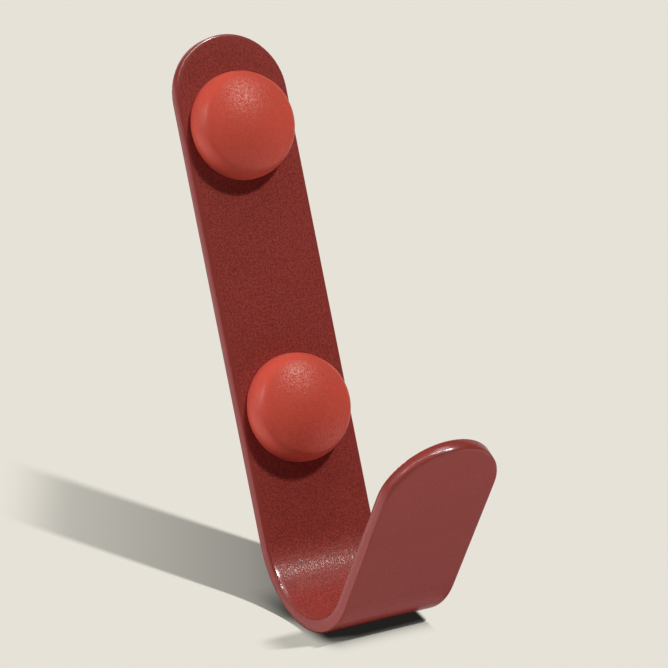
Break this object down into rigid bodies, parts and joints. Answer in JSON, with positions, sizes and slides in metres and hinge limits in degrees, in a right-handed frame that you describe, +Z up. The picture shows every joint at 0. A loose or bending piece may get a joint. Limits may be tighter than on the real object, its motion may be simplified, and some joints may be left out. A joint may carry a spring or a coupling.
{
  "type": "key hook",
  "caption": "J-shaped wall hook bent from flat steel bar with round ends and a flared lip, and domed magnetic caps over its screw holes, for hanging keys.",
  "frame": {"origin": "midway between the two screw holes, on the back face that lies on the wall", "axes": "+Y out of the back into the wall, so the hook stands out towards -Y; +Z up along the bar; +X to the right seen from the front"},
  "size_m": [0.025, 0.0639, 0.1221],
  "materials": {
    "strip_coat": "dark red powder coat, fine texture, satin",
    "cap_coral": "coral red moulded plastic, fine matte texture",
    "magnet_plate": "nickel plated"
  },
  "bodies": {
    "root": {"hook_strip": "strip_coat", "upper_cap": "cap_coral", "lower_cap": "cap_coral", "upper_cap_magnet": "magnet_plate", "lower_cap_magnet": "magnet_plate"}
  },
  "joints": []
}
